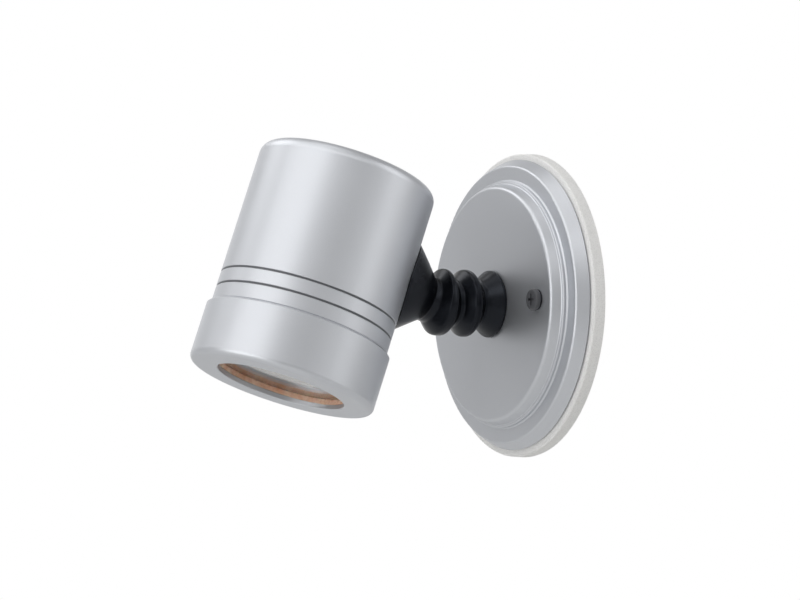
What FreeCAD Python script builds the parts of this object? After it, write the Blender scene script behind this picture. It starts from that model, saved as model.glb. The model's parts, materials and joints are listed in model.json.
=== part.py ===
import FreeCAD, Part

import math
import os

# Pivoting spotlight wall light. Millimetres. X runs along the wall, to the right when facing it, +Y goes into
# the wall, whose face is y = 0, and Z is up. The origin is the centre of the gasket's back face. "out" is the
# distance from the wall, along -Y. "reach" is the distance past the tilt pivot along the arm, and "fore" the
# distance along the head's axis from the arm's axis towards the lens.

V = FreeCAD.Vector
ORIGIN = V(0, 0, 0)
OUTWARD = V(0, -1, 0)
DOWN = V(0, 0, -1)
ACROSS = V(1, 0, 0)

LARGEST_BEVEL = 1.2  # edges up to this are bevelled, larger ones rounded

# ---- clearances
RUN_CLEAR = 0.05  # turned pieces in their bores, on the radius
FACE_CLEAR = 0.1  # flat faces that slide on each other
SOFT_CLEAR = 0.3  # rubber beside a piece that moves against it
SCREW_CLEAR = 0.2  # screws in plain holes, on the radius
THREAD_CLEAR = 0.02  # screws in their own tapped holes, on the radius

# ---- wall plate
PLATE_R = 63.5
PLATE_WALL = 3.0
GASKET_T = 5.2
GASKET_OVERHANG = 2.4
GASKET_WIDTH = 9.0
GASKET_ROUND = 0.6
FLANGE_H = 6.1
FLANGE_SLOPE = 3.0
FLANGE_ROUND = 1.3
FLANGE_UNDERCUT = 0.9
LEDGE_R = 53.9
LEDGE_H = 2.1
LEDGE_BEAD_R = 0.8
LEDGE_WIDTH = 1.3
DISC_R = 51.0
DISC_H = 4.5
DISC_ROUND = 1.8
HUB_R = 15.0
HUB_EXTRA = 2.0
STOP_LUG_R = 1.2
STOP_LUG_H = 1.6

# ---- straps on the junction box, and their screws
STRAP_T = 1.6
STRAP_WIDTH = 15.0
STRAP_LENGTH = 100.0
STRAP_BACK = 0.7
BOX_SPACING_LEAST = 69.85
BOX_SPACING_MOST = 88.9
BOX_SLOT_R = 2.3
SCREW_SPACING = 78.8
SCREW_R = 2.0
SCREW_HEAD_R = 4.8
SCREW_HEAD_H = 2.3
SCREW_CROSS_SPAN = 5.0
SCREW_CROSS_WIDTH = 1.0
SCREW_CROSS_DEPTH = 1.3
SEAL_T = 0.6
TAPPED_COLLAR_R = 3.6
TAPPED_COLLAR_H = 2.0
RIVET_BORE_R = 5.0
RIVET_WALL = 1.2
RIVET_LIP = 2.0
RIVET_LIP_T = 0.6
GROUND_SCREW_R = 1.9
GROUND_HEAD_R = 4.2
GROUND_HEAD_H = 2.4
GROUND_OFFSET = 21.0

# ---- swivel through the plate
STEM_R = 5.0
STEM_BORE_R = 3.2
BUSH_WALL = 1.4
BUSH_LIP = 2.2
BUSH_LIP_T = 0.8
SHOULDER_R = 9.0
SHOULDER_T = 2.5
STOP_WASHER_R = 9.0
STOP_WASHER_T = 1.0
STOP_TAB_REACH = 4.4
STOP_TAB_WIDTH = 2.2
SPRING_R = 8.6
SPRING_T = 0.6
SPRING_H = 1.4
NUT_FLATS = 17.0
NUT_T = 3.5
NUT_GRIP = 0.7  # thread that shows past a nut

# ---- knuckle
PIVOT_OUT = 45.8
FORK_R = 7.2
FORK_HALF = 5.4
FORK_END_R = 5.6
FORK_SLOT_ROOM = 0.8
TONGUE_T = 4.4
TONGUE_EYE_R = 5.4
TONGUE_HALF_HEIGHT = 4.6
DISC_SPRING_T = 0.4
BOLT_R = 2.0
BOLT_HEAD_R = 3.4
BOLT_HEAD_H = 2.0
BOLT_SOCKET_FLATS = 2.5
BOLT_SOCKET_DEPTH = 1.2
BOLT_NUT_FLATS = 7.0
BOLT_NUT_T = 2.2
COLLAR_R = 7.0
COLLAR_REACH = 8.2
WIRE_HOLE_R = 1.6
WIRE_BORE_R = 2.6
FLANGE_R = 9.0
FLANGE_T = 2.0
ARM_SEAL_T = 1.0
HEAD_STUB_PAST = 0.8

# ---- rubber boot over the knuckle
BOOT_WALL = 1.4
BOOT_BASE_R = 14.6
BOOT_BASE_T = 2.4
BOOT_LIP_T = 1.5
BOOT_NECK_R = 10.0
BOOT_NECK_START = 23.6
RIB_R = 14.6
RIB_OUT = (31.3, 43.3)
RIB_FOOT_HALF = 3.6
RIB_CREST_HALF = 1.7
BEND_HALF = 1.0
CONE_START_R = 10.0
CONE_START_REACH = 5.4
CONE_RIM_R = 21.4
SKIRT_FLARE = 0.1

# ---- head
REST_TILT = 19.4
ARM_LENGTH = 57.9  # from the tilt pivot to the head's axis
HEAD_R = 38.9
HEAD_WALL = 3.0
HEAD_TOP = 39.0
HEAD_TOP_ROUND = 5.0
GROOVE_FORE = (20.9, 27.6)
GROOVE_WIDTH = 1.0
GROOVE_DEPTH = 0.9
BOSS_R = 10.0
BOSS_PROUD = 2.1
BOSS_INSIDE = 2.6
NECK_R = 36.6
NECK_WALL = 3.0
BEZEL_R = 40.6
BEZEL_REAR = 34.7
BEZEL_FRONT = 60.6
BEZEL_CHAMFER = 0.9
BEZEL_ROUND = 2.75
APERTURE_R = 28.0
LIP_T = 2.4
LENS_R = 32.4
LENS_T = 4.0
LENS_SEAL_FRONT = 2.0
LENS_SEAL_REAR = 1.0
LENS_SEAL_WALL = 1.8
O_RING_R = 0.9
O_RING_FORE = 38.0

# ---- lamp and holder
LAMP_R = 25.0
LAMP_FRONT = 49.5
LAMP_RIM_T = 3.0
LAMP_GLASS_T = 1.6
LAMP_WAIST_R = 15.5
LAMP_BASE_R = 11.6
LAMP_SHELL_LENGTH = 32.0
LAMP_BASE_LENGTH = 16.0
LAMP_SHELL_WALL = 1.2
PIN_SPACING = 10.0
PIN_R = 1.5
PIN_HEAD_R = 2.5
PIN_LENGTH = 6.4
PIN_HEAD_T = 2.4
HOLDER_R = 13.5
HOLDER_T = 16.0
HOLDER_ROUND = 1.0
BRACKET_T = 1.2
BRACKET_WIDTH = 12.0
POST_R = 4.0
POST_OFFSET = 24.5
BRACKET_SCREW_R = 1.6
BRACKET_HEAD_R = 3.0
BRACKET_HEAD_T = 1.8
BRACKET_SCREW_GRIP = 7.0

# ---- worked out from the values above
FLANGE_OUT = GASKET_T + FLANGE_H
LEDGE_OUT = FLANGE_OUT + LEDGE_H
DISC_OUT = LEDGE_OUT + DISC_H
HUB_INNER = DISC_OUT - PLATE_WALL - HUB_EXTRA
STRAP_MIDDLE = STRAP_BACK + STRAP_T
STRAP_FRONT = STRAP_MIDDLE + STRAP_T
BUSH_R = STEM_R + RUN_CLEAR + BUSH_WALL
STEM_SEAT = DISC_OUT + BUSH_LIP_T + FACE_CLEAR
SHOULDER_OUT = STEM_SEAT + SHOULDER_T
WASHER_OUT = HUB_INNER - FACE_CLEAR
SPRING_OUT = WASHER_OUT - STOP_WASHER_T
NUT_OUT = SPRING_OUT - SPRING_H
STEM_INNER = NUT_OUT - NUT_T - NUT_GRIP
STOP_CIRCLE_R = STOP_WASHER_R + STOP_TAB_REACH - STOP_LUG_R
BOOT_SEAT = DISC_OUT + 0.2
SLOT_HALF = TONGUE_T / 2 + DISC_SPRING_T + 2 * RUN_CLEAR
FLANGE_REACH = ARM_LENGTH - HEAD_R - BOSS_PROUD - ARM_SEAL_T
HEAD_OUT = PIVOT_OUT + ARM_LENGTH
PIVOT = V(0, -PIVOT_OUT, 0)
HEAD_CENTRE = V(0, -HEAD_OUT, 0)
HEAD_INNER_R = HEAD_R - HEAD_WALL
BOSS_INNER = HEAD_INNER_R - BOSS_INSIDE
LIP_REAR = BEZEL_FRONT - LIP_T
SEAL_FRONT = LIP_REAR - FACE_CLEAR
LENS_FRONT = SEAL_FRONT - LENS_SEAL_FRONT
LENS_REAR = LENS_FRONT - LENS_T
NECK_FRONT = LENS_REAR - LENS_SEAL_REAR - FACE_CLEAR
SEAL_R = LENS_R + LENS_SEAL_WALL
LAMP_SHELL_REAR = LAMP_FRONT - LAMP_SHELL_LENGTH
LAMP_REAR = LAMP_SHELL_REAR - LAMP_BASE_LENGTH
HOLDER_REAR = LAMP_REAR - HOLDER_T
BRACKET_REAR = HOLDER_REAR - BRACKET_T


# ---- drawing helpers
def outline(corners):
    """Closed wire in the XZ plane through (x, z) or (x, z, edge) corners. A small edge is a bevel, a large one
    an arc of that radius."""
    points = [V(c[0], 0, c[1]) for c in corners]
    radii = [c[2] if len(c) > 2 else 0.0 for c in corners]
    count = len(corners)
    runs = []
    for i, (corner, radius) in enumerate(zip(points, radii)):
        back = points[i - 1] - corner
        ahead = points[(i + 1) % count] - corner
        if radius <= 0:
            runs.append((corner, None, corner))
            continue
        half = back.getAngle(ahead) / 2
        room = 0.49 * min(back.Length, ahead.Length)
        toward_back = V(back).normalize()
        toward_ahead = V(ahead).normalize()
        if radius <= LARGEST_BEVEL:
            bevel = min(radius, room)
            runs.append((corner + toward_back * bevel, None, corner + toward_ahead * bevel))
            continue
        tangent = min(radius / math.tan(half), room)
        radius = tangent * math.tan(half)
        middle = (toward_back + toward_ahead).normalize()
        rise = radius / math.sin(half) - radius
        start = corner + toward_back * tangent
        end = corner + toward_ahead * tangent
        runs.append((start, corner + middle * rise, end))
    edges = []
    for i, (start, middle, end) in enumerate(runs):
        if middle is not None:
            edges.append(Part.Arc(start, middle, end).toShape())
        elif start.distanceToPoint(end) > 1e-6:
            edges.append(Part.LineSegment(start, end).toShape())
        following = runs[(i + 1) % count][0]
        if end.distanceToPoint(following) > 1e-6:
            edges.append(Part.LineSegment(end, following).toShape())
    return Part.Wire(edges)


def turned(corners, base, direction):
    """Solid of revolution from (radius, distance, rounding) corners, measured from base along direction."""
    solid = Part.Face(outline(corners)).revolve(ORIGIN, V(0, 0, 1), 360)
    if solid.Volume < 0:
        solid.reverse()
    solid.Placement = FreeCAD.Placement(base, FreeCAD.Rotation(V(0, 0, 1), direction))
    return solid


def rod(radius, start, end):
    """Plain cylinder between two points."""
    along = end - start
    return Part.makeCylinder(radius, along.Length, start, along)


def block(x_range, out_range, z_range):
    """Box given by its ranges across, out from the wall, and up."""
    size = V(x_range[1] - x_range[0], out_range[1] - out_range[0], z_range[1] - z_range[0])
    return Part.makeBox(size.x, size.y, size.z, V(x_range[0], -out_range[1], z_range[0]))


def hexagon(flats, start, end, turn=0.0):
    """Six-sided prism between two points, with its flats this far apart."""
    corner_r = flats / 2 / math.cos(math.pi / 6)
    angles = [math.radians(turn + 60 * i) for i in range(7)]
    wire = Part.makePolygon([V(corner_r * math.cos(a), corner_r * math.sin(a), 0) for a in angles])
    along = end - start
    prism = Part.Face(wire).extrude(V(0, 0, along.Length))
    prism.Placement = FreeCAD.Placement(start, FreeCAD.Rotation(V(0, 0, 1), along))
    return prism


def out(distance, x=0.0, z=0.0):
    """Point this far out from the wall."""
    return V(x, -distance, z)


def reach(distance, x=0.0, z=0.0):
    """Point this far past the pivot, with the head's axis upright."""
    return V(x, -PIVOT_OUT - distance, z)


def fore(distance, x=0.0, y=0.0):
    """Point this far along the head's axis, with that axis upright."""
    return HEAD_CENTRE + V(x, y, -distance)


def tilted(shape):
    """The head leans by the rest tilt about the pivot, lens away from the wall."""
    shape.rotate(PIVOT, V(-1, 0, 0), REST_TILT)
    return shape


def grouped(solids):
    """Separate like solids kept together."""
    return Part.makeCompound(solids)


# ---- wall plate and straps
def wall_gasket():
    """Soft foam ring between the plate and the wall, a little wider than the plate."""
    outer = PLATE_R + GASKET_OVERHANG
    inner = outer - GASKET_WIDTH
    corners = [
        (inner, 0),
        (outer, 0, GASKET_ROUND),
        (outer, GASKET_T, GASKET_ROUND),
        (inner, GASKET_T),
    ]
    return turned(corners, ORIGIN, OUTWARD)


def back_plate():
    """Cast canopy: flange with a sloping side, small ledge, raised disc, and a hub bored for the swivel's bush."""
    riser = DISC_R - PLATE_WALL
    ledge_inner = LEDGE_R - LEDGE_WIDTH
    face_r = PLATE_R - FLANGE_SLOPE
    rim_inner = face_r - PLATE_WALL / 2
    bead = [(1 - math.cos(math.radians(a)), 1 - math.sin(math.radians(a))) for a in (0, 30, 60, 90)]
    corners = [
        (PLATE_R - FLANGE_UNDERCUT, GASKET_T),
        (PLATE_R, GASKET_T + FLANGE_UNDERCUT),
        (face_r, FLANGE_OUT, FLANGE_ROUND),
        (LEDGE_R, FLANGE_OUT, 0.6),
        *((LEDGE_R - LEDGE_BEAD_R * a, LEDGE_OUT - LEDGE_BEAD_R * b) for a, b in bead),
        (ledge_inner, LEDGE_OUT, 0.3),
        (DISC_R, DISC_OUT, DISC_ROUND),
        (BUSH_R + THREAD_CLEAR, DISC_OUT),
        (BUSH_R + THREAD_CLEAR, HUB_INNER),
        (HUB_R, HUB_INNER, 0.5),
        (HUB_R, DISC_OUT - PLATE_WALL, 0.5),
        (riser, DISC_OUT - PLATE_WALL, 1.0),
        (riser, FLANGE_OUT - PLATE_WALL, 1.0),
        (rim_inner, FLANGE_OUT - PLATE_WALL, 1.0),
        (rim_inner, GASKET_T),
    ]
    plate = turned(corners, ORIGIN, OUTWARD)
    for x in (-SCREW_SPACING / 2, SCREW_SPACING / 2):
        plate = plate.cut(rod(SCREW_R + SCREW_CLEAR, out(HUB_INNER, x), out(DISC_OUT + 1, x)))
    lug = rod(STOP_LUG_R, out(HUB_INNER - STOP_LUG_H, 0, -STOP_CIRCLE_R), out(HUB_INNER + 1, 0, -STOP_CIRCLE_R))
    return plate.fuse(lug)


def strap_blank(length_axis_is_x, back):
    """Flat bar with round ends and the rivet's hole."""
    straight = STRAP_LENGTH / 2 - STRAP_WIDTH / 2
    half = STRAP_WIDTH / 2
    front = back + STRAP_T
    if length_axis_is_x:
        bar = block((-straight, straight), (back, front), (-half, half))
        ends = [rod(half, out(back, x), out(front, x)) for x in (-straight, straight)]
    else:
        bar = block((-half, half), (back, front), (-straight, straight))
        ends = [rod(half, out(back, 0, z), out(front, 0, z)) for z in (-straight, straight)]
    bar = bar.fuse(ends).removeSplitter()
    hole_r = RIVET_BORE_R + RIVET_WALL + THREAD_CLEAR
    return bar.cut(rod(hole_r, out(back - 1), out(front + 1)))


def box_strap():
    """Upright bar whose two slots take the junction box's screws, with a tapped hole for the earth screw."""
    strap = strap_blank(False, STRAP_BACK)
    ends = (BOX_SPACING_LEAST / 2, BOX_SPACING_MOST / 2)
    for side in (-1, 1):
        low, high = sorted(side * end for end in ends)
        for z in (low, high):
            strap = strap.cut(rod(BOX_SLOT_R, out(0, 0, z), out(STRAP_MIDDLE + 1, 0, z)))
        strap = strap.cut(block((-BOX_SLOT_R, BOX_SLOT_R), (0, STRAP_MIDDLE + 1), (low, high)))
    tapped = rod(GROUND_SCREW_R + THREAD_CLEAR, out(0, 0, -GROUND_OFFSET), out(STRAP_MIDDLE + 1, 0, -GROUND_OFFSET))
    return strap.cut(tapped)


def fixture_strap():
    """Level bar with a drawn and tapped collar for each plate screw."""
    strap = strap_blank(True, STRAP_MIDDLE)
    for x in (-SCREW_SPACING / 2, SCREW_SPACING / 2):
        strap = strap.fuse(rod(TAPPED_COLLAR_R, out(STRAP_MIDDLE, x), out(STRAP_FRONT + TAPPED_COLLAR_H, x)))
        strap = strap.cut(rod(SCREW_R + THREAD_CLEAR, out(0, x), out(STRAP_FRONT + TAPPED_COLLAR_H + 1, x)))
    return strap


def strap_rivet():
    """Hollow rivet that joins the two bars, with a lip on each side."""
    tube = RIVET_BORE_R + RIVET_WALL
    corners = [
        (RIVET_BORE_R, STRAP_BACK - RIVET_LIP_T),
        (tube + RIVET_LIP, STRAP_BACK - RIVET_LIP_T),
        (tube + RIVET_LIP, STRAP_BACK),
        (tube, STRAP_BACK),
        (tube, STRAP_FRONT),
        (tube + RIVET_LIP, STRAP_FRONT),
        (tube + RIVET_LIP, STRAP_FRONT + RIVET_LIP_T, 0.3),
        (RIVET_BORE_R, STRAP_FRONT + RIVET_LIP_T, 0.3),
    ]
    return turned(corners, ORIGIN, OUTWARD)


def ground_screw():
    """Hex-headed earth screw on the upright bar."""
    z = -GROUND_OFFSET
    washer = rod(GROUND_HEAD_R + 0.8, out(STRAP_MIDDLE, 0, z), out(STRAP_MIDDLE + 0.6, 0, z))
    head = hexagon(GROUND_HEAD_R * 1.8, out(STRAP_MIDDLE, 0, z), out(STRAP_MIDDLE + GROUND_HEAD_H, 0, z))
    shank = rod(GROUND_SCREW_R, out(STRAP_BACK - 0.5, 0, z), out(STRAP_MIDDLE + 1, 0, z))
    return head.fuse([washer, shank]).removeSplitter()


def plate_screws():
    """Two pan-headed cross-recess screws that pull the plate onto the level bar."""
    seat = DISC_OUT + SEAL_T
    crown = seat + SCREW_HEAD_H
    tip = STRAP_BACK + 0.3
    corners = [
        (0, tip),
        (SCREW_R, tip, 0.6),
        (SCREW_R, seat),
        (SCREW_HEAD_R, seat, 0.3),
        (SCREW_HEAD_R, crown, 1.7),
        (0, crown),
    ]
    screws = []
    for x in (-SCREW_SPACING / 2, SCREW_SPACING / 2):
        screw = turned(corners, out(0, x), OUTWARD)
        floor = crown - SCREW_CROSS_DEPTH
        span, width = SCREW_CROSS_SPAN / 2, SCREW_CROSS_WIDTH / 2
        level = block((x - span, x + span), (floor, crown + 1), (-width, width))
        upright = block((x - width, x + width), (floor, crown + 1), (-span, span))
        screws.append(screw.cut(level.fuse(upright)))
    return grouped(screws)


def screw_seals():
    """Rubber washers under the screw heads."""
    corners = [
        (SCREW_R + SCREW_CLEAR, DISC_OUT),
        (SCREW_HEAD_R - 0.2, DISC_OUT),
        (SCREW_HEAD_R - 0.2, DISC_OUT + SEAL_T),
        (SCREW_R + SCREW_CLEAR, DISC_OUT + SEAL_T),
    ]
    return grouped([turned(corners, out(0, x), OUTWARD) for x in (-SCREW_SPACING / 2, SCREW_SPACING / 2)])


def swivel_bush():
    """Plain bush in the hub, with a lip that carries the stem's shoulder."""
    bore = STEM_R + RUN_CLEAR
    corners = [
        (bore, HUB_INNER),
        (BUSH_R, HUB_INNER),
        (BUSH_R, DISC_OUT),
        (BUSH_R + BUSH_LIP, DISC_OUT),
        (BUSH_R + BUSH_LIP, DISC_OUT + BUSH_LIP_T, 0.3),
        (bore, DISC_OUT + BUSH_LIP_T),
    ]
    return turned(corners, ORIGIN, OUTWARD)


# ---- swivel
def swivel_stem():
    """Hollow threaded stem with a shoulder, whose outer end is a slotted fork for the knuckle."""
    slot_out = PIVOT_OUT - TONGUE_EYE_R - FORK_SLOT_ROOM
    end_out = PIVOT_OUT + FORK_END_R
    corners = [
        (STEM_BORE_R, STEM_INNER, 0.3),
        (STEM_R, STEM_INNER, 0.5),
        (STEM_R, STEM_SEAT),
        (SHOULDER_R, STEM_SEAT, 0.3),
        (SHOULDER_R, SHOULDER_OUT, 0.6),
        (FORK_R, SHOULDER_OUT + 0.8, 0.4),
        (FORK_R, end_out),
        (STEM_BORE_R, end_out),
    ]
    stem = turned(corners, ORIGIN, OUTWARD)
    span = SHOULDER_R + 1
    for side in (-1, 1):
        cheek = sorted((side * FORK_HALF, side * span))
        stem = stem.cut(block(cheek, (slot_out - 3, end_out + 1), (-span, span)))
    stem = stem.cut(block((-SLOT_HALF, SLOT_HALF), (slot_out, end_out + 1), (-span, span)))
    ends = rod(FORK_END_R, reach(0, -span), reach(0, span))
    keep = block((-span, span), (0, PIVOT_OUT), (-span, span)).fuse(ends)
    stem = stem.common(keep)
    return stem.cut(rod(BOLT_R + RUN_CLEAR, reach(0, -span), reach(0, span)))


def stop_washer():
    """Washer keyed to the stem, whose tab meets the lug in the plate at either end of the turn."""
    ring = rod(STOP_WASHER_R, out(SPRING_OUT), out(WASHER_OUT))
    half = STOP_TAB_WIDTH / 2
    tab = block((-half, half), (SPRING_OUT, WASHER_OUT), (0, STOP_WASHER_R + STOP_TAB_REACH))
    washer = ring.fuse(tab).removeSplitter()
    return washer.cut(rod(STEM_R + THREAD_CLEAR, out(0), out(DISC_OUT)))


def friction_spring():
    """Disc spring that keeps the swivel stiff."""
    bore = STEM_R + THREAD_CLEAR
    corners = [
        (bore, NUT_OUT),
        (SPRING_R, SPRING_OUT - SPRING_T),
        (SPRING_R, SPRING_OUT),
        (bore, NUT_OUT + SPRING_T),
    ]
    return turned(corners, ORIGIN, OUTWARD)


def stem_nut():
    """Thin hexagon nut on the stem, behind the plate."""
    nut = hexagon(NUT_FLATS, out(NUT_OUT - NUT_T), out(NUT_OUT))
    rounding = NUT_FLATS / 2 / math.cos(math.pi / 6) - 0.4
    chamfered = turned(
        [
            (0, NUT_OUT - NUT_T),
            (rounding, NUT_OUT - NUT_T),
            (rounding + 0.8, NUT_OUT - NUT_T + 0.8),
            (rounding + 0.8, NUT_OUT),
            (0, NUT_OUT),
        ],
        ORIGIN,
        OUTWARD,
    )
    return nut.common(chamfered).cut(rod(STEM_R + THREAD_CLEAR, out(0), out(DISC_OUT)))


def knuckle_bolt():
    """Socket-headed bolt through both cheeks, the pin that the head tilts on."""
    tip = -FORK_HALF - BOLT_NUT_T - 0.5
    corners = [
        (0, tip),
        (BOLT_R, tip, 0.4),
        (BOLT_R, FORK_HALF),
        (BOLT_HEAD_R, FORK_HALF),
        (BOLT_HEAD_R, FORK_HALF + BOLT_HEAD_H, 0.6),
        (0, FORK_HALF + BOLT_HEAD_H),
    ]
    bolt = turned(corners, PIVOT, ACROSS)
    crown = FORK_HALF + BOLT_HEAD_H
    socket = hexagon(BOLT_SOCKET_FLATS, reach(0, crown - BOLT_SOCKET_DEPTH), reach(0, crown + 1))
    return bolt.cut(socket)


def knuckle_nut():
    """Thin lock nut on the knuckle bolt."""
    nut = hexagon(BOLT_NUT_FLATS, reach(0, -FORK_HALF - BOLT_NUT_T), reach(0, -FORK_HALF))
    return nut.cut(rod(BOLT_R + THREAD_CLEAR, reach(0, -FORK_HALF - BOLT_NUT_T - 1), reach(0, 0)))


def friction_discs():
    """Thin fibre discs between the tongue and the cheeks."""
    discs = []
    inner = TONGUE_T / 2 + RUN_CLEAR
    for side in (-1, 1):
        disc = rod(TONGUE_EYE_R - 0.4, reach(0, side * inner), reach(0, side * (inner + DISC_SPRING_T)))
        discs.append(disc.cut(rod(BOLT_R + RUN_CLEAR, reach(0, -FORK_HALF), reach(0, FORK_HALF))))
    return grouped(discs)


# ---- rubber boot
def boot_circle(distance, radius):
    """Circle square to the arm's bent line, this far along it. The bend is an arc about the pivot."""
    past = distance - PIVOT_OUT
    share = min(max((past + BEND_HALF) / (2 * BEND_HALF), 0.0), 1.0)
    turn = math.radians(REST_TILT) * share
    bend_r = BEND_HALF / math.tan(math.radians(REST_TILT) / 2)
    along = V(0, -math.cos(turn), math.sin(turn))
    centre = reach(bend_r * math.sin(turn) - BEND_HALF, 0, bend_r * (1 - math.cos(turn)))
    straight = min(past + BEND_HALF, 0.0) + max(past - BEND_HALF, 0.0)
    circle = Part.Circle(ORIGIN, V(0, 0, 1), radius).toShape()
    circle.rotate(ORIGIN, ACROSS, 90 - math.degrees(turn))
    circle.translate(centre + along * straight)
    return Part.Wire(circle)


def boot_skin(stations):
    """Ruled skin through circles at (distance, radius) stations, closed at both ends."""
    return Part.makeLoft([boot_circle(distance, radius) for distance, radius in stations], True, True)


def rib_stations(middle, foot_half, crest_half, foot_r, crest_r):
    """The four circles of one rib."""
    return [
        (middle - foot_half, foot_r),
        (middle - crest_half, crest_r),
        (middle + crest_half, crest_r),
        (middle + foot_half, foot_r),
    ]


def rubber_boot():
    """Ribbed sleeve from the plate to the head, flared into a cone whose skirt saddles the head's side."""
    cone_start = PIVOT_OUT + CONE_START_REACH
    rim_at = PIVOT_OUT + ARM_LENGTH - HEAD_R
    past = HEAD_R - math.sqrt(HEAD_R**2 - (1.25 * CONE_RIM_R) ** 2)
    skirt_r = CONE_RIM_R + past * SKIRT_FLARE
    inner_r = BOOT_NECK_R - BOOT_WALL
    outer = [
        (BOOT_SEAT, BOOT_BASE_R),
        (BOOT_SEAT + BOOT_BASE_T, BOOT_BASE_R),
        (BOOT_NECK_START, BOOT_NECK_R),
    ]
    inner = [(BOOT_NECK_START - 1, inner_r)]
    inner_foot = RIB_FOOT_HALF - BOOT_WALL
    inner_crest = RIB_CREST_HALF - BOOT_WALL / 2
    for middle in RIB_OUT:
        outer += rib_stations(middle, RIB_FOOT_HALF, RIB_CREST_HALF, BOOT_NECK_R, RIB_R)
        inner += rib_stations(middle, inner_foot, inner_crest, inner_r, RIB_R - BOOT_WALL)
    outer += [(cone_start, CONE_START_R), (rim_at, CONE_RIM_R), (rim_at + past, skirt_r)]
    inner += [
        (cone_start, CONE_START_R - BOOT_WALL),
        (rim_at, CONE_RIM_R - BOOT_WALL),
        (rim_at + past + 1, skirt_r - BOOT_WALL),
    ]
    boot = boot_skin(outer).cut(boot_skin(inner))
    seat_bore = turned(
        [
            (0, BOOT_SEAT - 1),
            (SHOULDER_R + SCREW_CLEAR, BOOT_SEAT - 1),
            (SHOULDER_R + SCREW_CLEAR, BOOT_SEAT + BOOT_LIP_T + 1),
            (inner_r, BOOT_NECK_START),
            (0, BOOT_NECK_START),
        ],
        ORIGIN,
        OUTWARD,
    )
    boot = boot.cut(seat_bore)
    room = rod(HEAD_R + SOFT_CLEAR, fore(-2 * HEAD_TOP), fore(2 * BEZEL_FRONT))
    return boot.cut(tilted(room))


# ---- head side of the knuckle
def knuckle_tongue():
    """Eye and tongue in the fork, then a collar with a wire hole, a flange and a hollow threaded stub."""
    stub_end = ARM_LENGTH - BOSS_INNER + NUT_T + HEAD_STUB_PAST
    half = TONGUE_T / 2
    eye = rod(TONGUE_EYE_R, reach(0, -half), reach(0, half))
    height = TONGUE_HALF_HEIGHT
    blade = block((-half, half), (PIVOT_OUT, PIVOT_OUT + COLLAR_REACH + 1), (-height, height))
    corners = [
        (0, COLLAR_REACH),
        (COLLAR_R, COLLAR_REACH, 0.8),
        (COLLAR_R, FLANGE_REACH - FLANGE_T, 0.3),
        (FLANGE_R, FLANGE_REACH - FLANGE_T, 0.3),
        (FLANGE_R, FLANGE_REACH),
        (STEM_R, FLANGE_REACH),
        (STEM_R, stub_end, 0.5),
        (0, stub_end),
    ]
    body = turned(corners, PIVOT, OUTWARD).fuse([eye, blade]).removeSplitter()
    wire_reach = (COLLAR_REACH + FLANGE_REACH - FLANGE_T) / 2
    body = body.cut(rod(WIRE_BORE_R, reach(wire_reach), reach(stub_end + 1)))
    body = body.cut(rod(WIRE_HOLE_R, reach(wire_reach, -COLLAR_R - 1), reach(wire_reach, COLLAR_R + 1)))
    return tilted(body.cut(rod(BOLT_R + RUN_CLEAR, reach(0, -half - 1), reach(0, half + 1))))


def arm_seal():
    """Flat seal between the knuckle's flange and the boss on the head."""
    corners = [
        (STEM_R + SCREW_CLEAR, FLANGE_REACH),
        (FLANGE_R - 0.3, FLANGE_REACH),
        (FLANGE_R - 0.3, FLANGE_REACH + ARM_SEAL_T),
        (STEM_R + SCREW_CLEAR, FLANGE_REACH + ARM_SEAL_T),
    ]
    return tilted(turned(corners, PIVOT, OUTWARD))


def head_nut():
    """Nut on the stub, inside the head."""
    seat = ARM_LENGTH - BOSS_INNER
    nut = hexagon(NUT_FLATS, reach(seat), reach(seat + NUT_T))
    return tilted(nut.cut(rod(STEM_R + THREAD_CLEAR, reach(0), reach(ARM_LENGTH))))


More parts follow.
